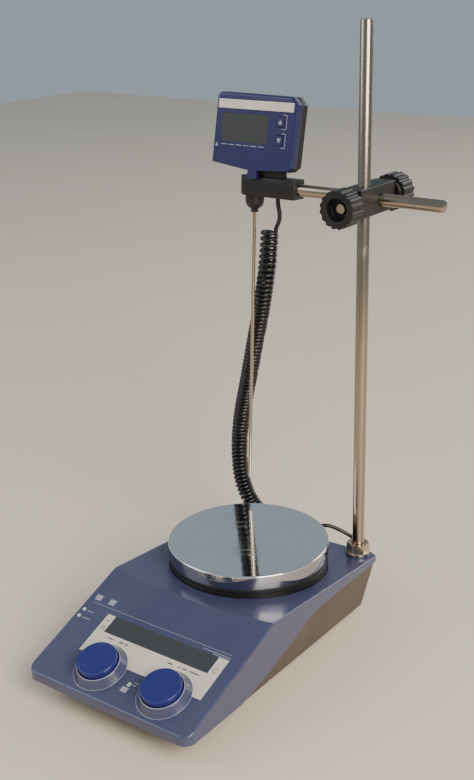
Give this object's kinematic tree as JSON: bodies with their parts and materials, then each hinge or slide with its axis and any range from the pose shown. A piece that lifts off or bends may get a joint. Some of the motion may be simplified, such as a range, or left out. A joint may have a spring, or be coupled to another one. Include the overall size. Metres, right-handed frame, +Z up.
{
  "type": "hot plate magnetic stirrer",
  "caption": "Hot plate magnetic stirrer with a sloping control panel, a round plate, a stand rod and a digital probe thermometer on a boss head, joined by a curly cord.",
  "frame": {"origin": "centre of the heating plate's top face", "axes": "+Z up along the plate and rotor axis, +Y to the rear where the sockets are, +X to the side that holds the stand rod"},
  "size_m": [0.227, 0.3223, 0.5003],
  "materials": {
    "cover_paint": "glossy blue enamel with a fine orange peel",
    "tub_plastic": "satin moulded plastic, dark warm grey",
    "plate_alloy": "polished and clear-coated, faintly turned",
    "collar_plastic": "matt heat-resistant plastic",
    "rod_steel": "ground stainless steel",
    "sheet_steel": "zinc plated",
    "core_iron": "oiled laminations",
    "magnet_coat": "epoxy coated magnet",
    "copper_wire": "enamelled copper",
    "mica": "pressed mica",
    "circuit_board": "solder mask",
    "transformer_tape": "taped winding",
    "black_plastic": "fine spark-eroded texture",
    "knob_plastic": "polished moulding with a soft sheen",
    "label_film": "printed polyester film",
    "window_plastic": "smoked window",
    "lens_plastic": "clear light guide",
    "trim_blue": "moulded plastic",
    "gauge_plastic": "dark blue moulding",
    "key_plastic": "silver keys",
    "lcd": "liquid crystal display",
    "foot_rubber": "soft rubber",
    "cord_jacket": "smooth soft jacket",
    "head_paint": "satin black coating"
  },
  "bodies": {
    "housing": {"lower_housing": "tub_plastic", "top_cover": "cover_paint", "bottom_plate": "sheet_steel", "rubber_feet": "foot_rubber", "housing_screws": "rod_steel", "heating_plate": "plate_alloy", "insulating_collar": "collar_plastic", "heating_element": "copper_wire", "element_clamp": "mica", "plate_sensor": "copper_wire", "plate_posts": "rod_steel", "heat_shield": "sheet_steel", "motor_bracket": "sheet_steel", "motor_housing": "core_iron", "stator_winding": "copper_wire", "upper_bearing": "rod_steel", "lower_bearing": "rod_steel", "power_board": "circuit_board", "power_transformer": "transformer_tape", "control_board": "circuit_board", "display_module": "black_plastic", "display_window": "window_plastic", "panel_label": "label_film", "indicator_lenses": "lens_plastic", "heat_encoder": "black_plastic", "speed_encoder": "black_plastic", "limit_potentiometer": "trim_blue", "mains_inlet": "black_plastic", "switch_frame": "black_plastic", "probe_socket": "black_plastic", "rod_fasteners": "rod_steel", "cord_lead": "cord_jacket", "cord_curl": "cord_jacket", "cord_tail": "cord_jacket", "cord_plug": "black_plastic"},
    "rotor": {"motor_shaft": "rod_steel", "rotor_core": "core_iron", "magnet_carrier": "sheet_steel", "drive_magnets": "magnet_coat"},
    "heat_push": {"heat_shaft": "rod_steel"},
    "heat_dial": {"heat_knob": "knob_plastic"},
    "speed_push": {"speed_shaft": "rod_steel"},
    "speed_dial": {"speed_knob": "knob_plastic"},
    "limit_dial": {"limit_screw": "lens_plastic"},
    "rocker": {"switch_rocker": "black_plastic"},
    "post": {"stand_rod": "rod_steel"},
    "clamp_head": {"boss_head": "head_paint"},
    "rod_clamp": {"rod_screw": "rod_steel"},
    "rod_clamp_knob": {"rod_screw_knob": "black_plastic"},
    "arm_clamp": {"arm_screw": "rod_steel"},
    "arm_clamp_knob": {"arm_screw_knob": "black_plastic"},
    "arm": {"holding_rod": "rod_steel"},
    "gauge": {"holder_block": "black_plastic", "probe_rod": "rod_steel", "gauge_front": "gauge_plastic", "gauge_rear": "black_plastic", "gauge_display": "lcd"},
    "up_button": {"up_key": "key_plastic"},
    "down_button": {"down_key": "key_plastic"}
  },
  "joints": [
    {"name": "rotor_spin", "type": "hinge", "parent": "housing", "child": "rotor", "pos_m": [0, 0, -0.04], "axis": [0, 0, 1], "continuous": true},
    {"name": "heat_press", "type": "slide", "parent": "housing", "child": "heat_push", "axis": [0, 0.3578, -0.9338], "range_m": [0, 0.001], "stiffness_N_per_m": 1500, "springref_m": -0.001},
    {"name": "heat_turn", "type": "hinge", "parent": "heat_push", "child": "heat_dial", "pos_m": [-0.0235, -0.16272, -0.0477], "axis": [0, -0.3578, 0.9338], "continuous": true},
    {"name": "speed_press", "type": "slide", "parent": "housing", "child": "speed_push", "axis": [0, 0.3578, -0.9338], "range_m": [0, 0.001], "stiffness_N_per_m": 1500, "springref_m": -0.001},
    {"name": "speed_turn", "type": "hinge", "parent": "speed_push", "child": "speed_dial", "pos_m": [0.0395, -0.16272, -0.0477], "axis": [0, -0.3578, 0.9338], "continuous": true},
    {"name": "limit_turn", "type": "hinge", "parent": "housing", "child": "limit_dial", "pos_m": [0.008, -0.16599, -0.04895], "axis": [0, -0.3578, 0.9338], "range_deg": [-135, 135]},
    {"name": "rocker_tilt", "type": "hinge", "parent": "housing", "child": "rocker", "pos_m": [0, 0.077, -0.061], "axis": [1, 0, 0], "range_deg": [0, 16]},
    {"name": "head_swivel", "type": "hinge", "parent": "housing", "child": "post", "pos_m": [0.064, 0.0725, 0], "axis": [0, 0, 1], "range_deg": [-30, 45]},
    {"name": "head_height", "type": "slide", "parent": "post", "child": "clamp_head", "axis": [0, 0, 1], "range_m": [-0.012, 0.11], "deforming": ["cord_lead", "cord_curl"]},
    {"name": "rod_screw_travel", "type": "slide", "parent": "clamp_head", "child": "rod_clamp", "axis": [0, -1, 0], "range_m": [0, 0.00375]},
    {"name": "rod_knob_turn", "type": "hinge", "parent": "rod_clamp", "child": "rod_clamp_knob", "pos_m": [0.064, 0.05, 0.2795], "axis": [0, -1, 0], "range_deg": [0, 1080]},
    {"name": "arm_screw_travel", "type": "slide", "parent": "clamp_head", "child": "arm_clamp", "axis": [0, 1, 0], "range_m": [0, 0.00375]},
    {"name": "arm_knob_turn", "type": "hinge", "parent": "arm_clamp", "child": "arm_clamp_knob", "pos_m": [0.064, 0.11, 0.2795], "axis": [0, 1, 0], "range_deg": [0, 1080]},
    {"name": "arm_slide", "type": "slide", "parent": "clamp_head", "child": "arm", "axis": [1, 0, 0], "range_m": [-0.045, 0.04]},
    {"name": "gauge_tilt", "type": "hinge", "parent": "arm", "child": "gauge", "pos_m": [0, 0.0845, 0.2795], "axis": [1, 0, 0], "range_deg": [-35, 1.5]},
    {"name": "up_press", "type": "slide", "parent": "gauge", "child": "up_button", "axis": [0, 0.9839, -0.1788], "range_m": [0, 0.0004], "stiffness_N_per_m": 800, "springref_m": -0.001},
    {"name": "down_press", "type": "slide", "parent": "gauge", "child": "down_button", "axis": [0, 0.9839, -0.1788], "range_m": [0, 0.0004], "stiffness_N_per_m": 800, "springref_m": -0.001}
  ],
  "couplings": [
    {"joint": "rod_knob_turn", "follows": "rod_screw_travel", "rad_per_m": 5026.5},
    {"joint": "arm_knob_turn", "follows": "arm_screw_travel", "rad_per_m": 5026.5}
  ]
}
